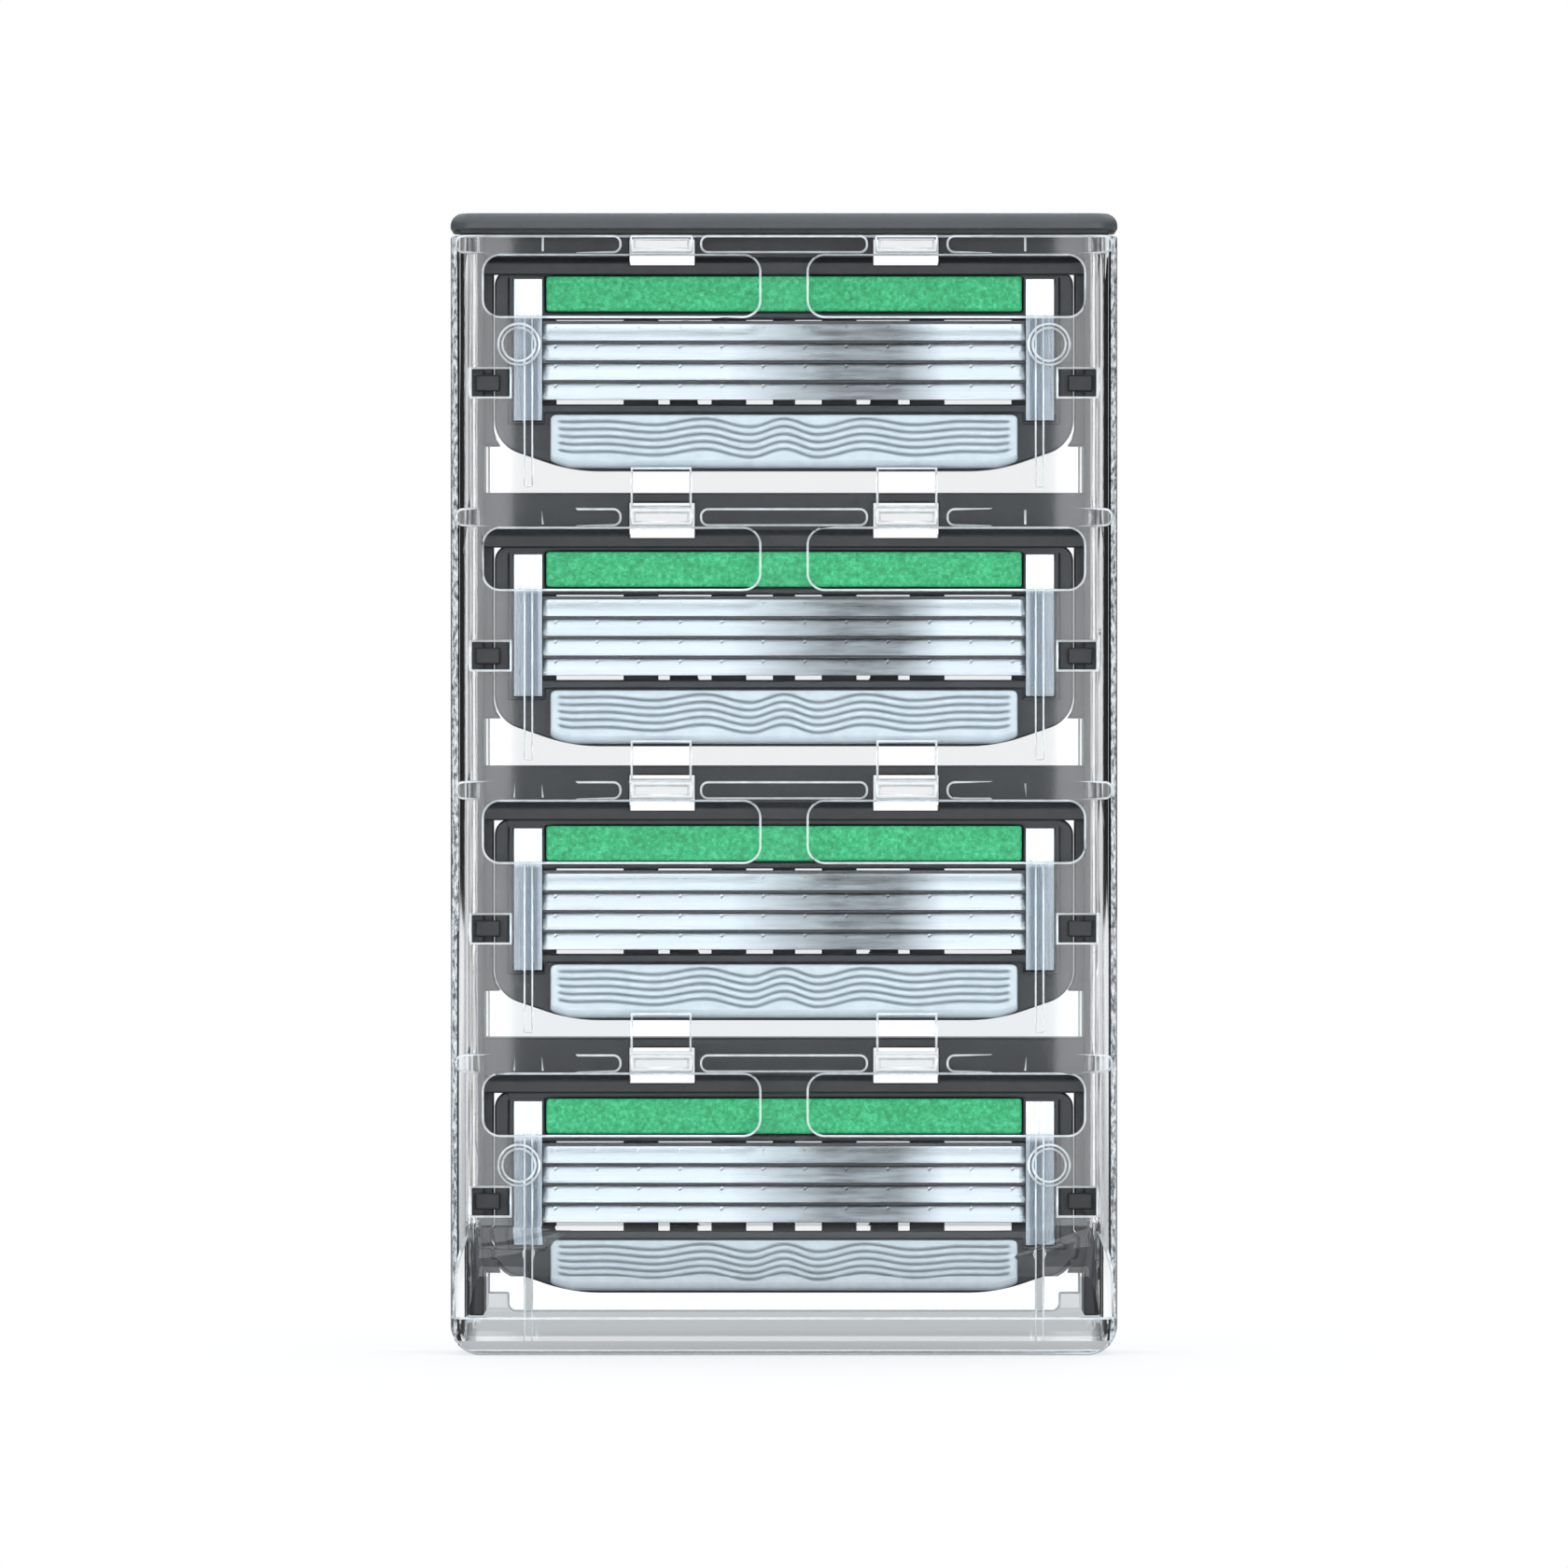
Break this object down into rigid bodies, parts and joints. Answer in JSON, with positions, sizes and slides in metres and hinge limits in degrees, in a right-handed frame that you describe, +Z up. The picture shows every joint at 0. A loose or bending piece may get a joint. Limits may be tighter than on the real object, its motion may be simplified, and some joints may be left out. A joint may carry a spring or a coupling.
{
  "type": "razor cartridge dispenser",
  "caption": "Clear pocket case with a dark sliding tray that holds razor blade cartridges face down in bays, each with a pivoting docking yoke.",
  "frame": {"origin": "middle of the case's foot, on the surface it stands on", "axes": "+Z up towards the end cap, -Y out of the front wall with the windows, +X to the right seen from the front"},
  "size_m": [0.0476, 0.015, 0.0816],
  "materials": {
    "clear_plastic": "clear, polished polystyrene",
    "charcoal_plastic": "fine satin moulding",
    "black_plastic": "satin moulding",
    "connector_plastic": "satin moulding",
    "green_strip": "mottled lubricating polymer",
    "support_steel": "stamped",
    "blade_steel": "fine ground, honed edge",
    "guard_rubber": "soft elastomer with fins",
    "clip_aluminium": "satin rolled"
  },
  "bodies": {
    "case": {"clear_case": "clear_plastic"},
    "tray": {"cartridge_tray": "charcoal_plastic"},
    "cartridge_1": {"cartridge_1_blade_1": "blade_steel", "cartridge_1_blade_2": "blade_steel", "cartridge_1_blade_3": "blade_steel", "cartridge_1_blade_4": "blade_steel", "cartridge_1_blade_supports": "support_steel", "cartridge_1_clip_left": "clip_aluminium", "cartridge_1_clip_right": "clip_aluminium", "cartridge_1_comfort_guard": "guard_rubber", "cartridge_1_housing": "black_plastic", "cartridge_1_lubricating_strip": "green_strip"},
    "connector_1": {"cartridge_1_connector": "connector_plastic"},
    "cartridge_2": {"cartridge_2_blade_1": "blade_steel", "cartridge_2_blade_2": "blade_steel", "cartridge_2_blade_3": "blade_steel", "cartridge_2_blade_4": "blade_steel", "cartridge_2_blade_supports": "support_steel", "cartridge_2_clip_left": "clip_aluminium", "cartridge_2_clip_right": "clip_aluminium", "cartridge_2_comfort_guard": "guard_rubber", "cartridge_2_housing": "black_plastic", "cartridge_2_lubricating_strip": "green_strip"},
    "connector_2": {"cartridge_2_connector": "connector_plastic"},
    "cartridge_3": {"cartridge_3_blade_1": "blade_steel", "cartridge_3_blade_2": "blade_steel", "cartridge_3_blade_3": "blade_steel", "cartridge_3_blade_4": "blade_steel", "cartridge_3_blade_supports": "support_steel", "cartridge_3_clip_left": "clip_aluminium", "cartridge_3_clip_right": "clip_aluminium", "cartridge_3_comfort_guard": "guard_rubber", "cartridge_3_housing": "black_plastic", "cartridge_3_lubricating_strip": "green_strip"},
    "connector_3": {"cartridge_3_connector": "connector_plastic"},
    "cartridge_4": {"cartridge_4_blade_1": "blade_steel", "cartridge_4_blade_2": "blade_steel", "cartridge_4_blade_3": "blade_steel", "cartridge_4_blade_4": "blade_steel", "cartridge_4_blade_supports": "support_steel", "cartridge_4_clip_left": "clip_aluminium", "cartridge_4_clip_right": "clip_aluminium", "cartridge_4_comfort_guard": "guard_rubber", "cartridge_4_housing": "black_plastic", "cartridge_4_lubricating_strip": "green_strip"},
    "connector_4": {"cartridge_4_connector": "connector_plastic"}
  },
  "joints": [
    {"name": "tray_slide", "type": "slide", "parent": "case", "child": "tray", "axis": [0, 0, 1], "range_m": [0, 0.08]},
    {"name": "cartridge_1_release", "type": "slide", "parent": "tray", "child": "cartridge_1", "axis": [0, 1, 0], "range_m": [0, 0.02]},
    {"name": "connector_1_pivot", "type": "hinge", "parent": "cartridge_1", "child": "connector_1", "pos_m": [0, 0.0001, 0.0666], "axis": [-1, 0, 0], "range_deg": [0, 40]},
    {"name": "cartridge_2_release", "type": "slide", "parent": "tray", "child": "cartridge_2", "axis": [0, 1, 0], "range_m": [0, 0.02]},
    {"name": "connector_2_pivot", "type": "hinge", "parent": "cartridge_2", "child": "connector_2", "pos_m": [0, 0.0001, 0.0469], "axis": [-1, 0, 0], "range_deg": [0, 40]},
    {"name": "cartridge_3_release", "type": "slide", "parent": "tray", "child": "cartridge_3", "axis": [0, 1, 0], "range_m": [0, 0.02]},
    {"name": "connector_3_pivot", "type": "hinge", "parent": "cartridge_3", "child": "connector_3", "pos_m": [0, 0.0001, 0.0273], "axis": [-1, 0, 0], "range_deg": [0, 40]},
    {"name": "cartridge_4_release", "type": "slide", "parent": "tray", "child": "cartridge_4", "axis": [0, 1, 0], "range_m": [0, 0.02]},
    {"name": "connector_4_pivot", "type": "hinge", "parent": "cartridge_4", "child": "connector_4", "pos_m": [0, 0.0001, 0.0078], "axis": [-1, 0, 0], "range_deg": [0, 40]}
  ]
}
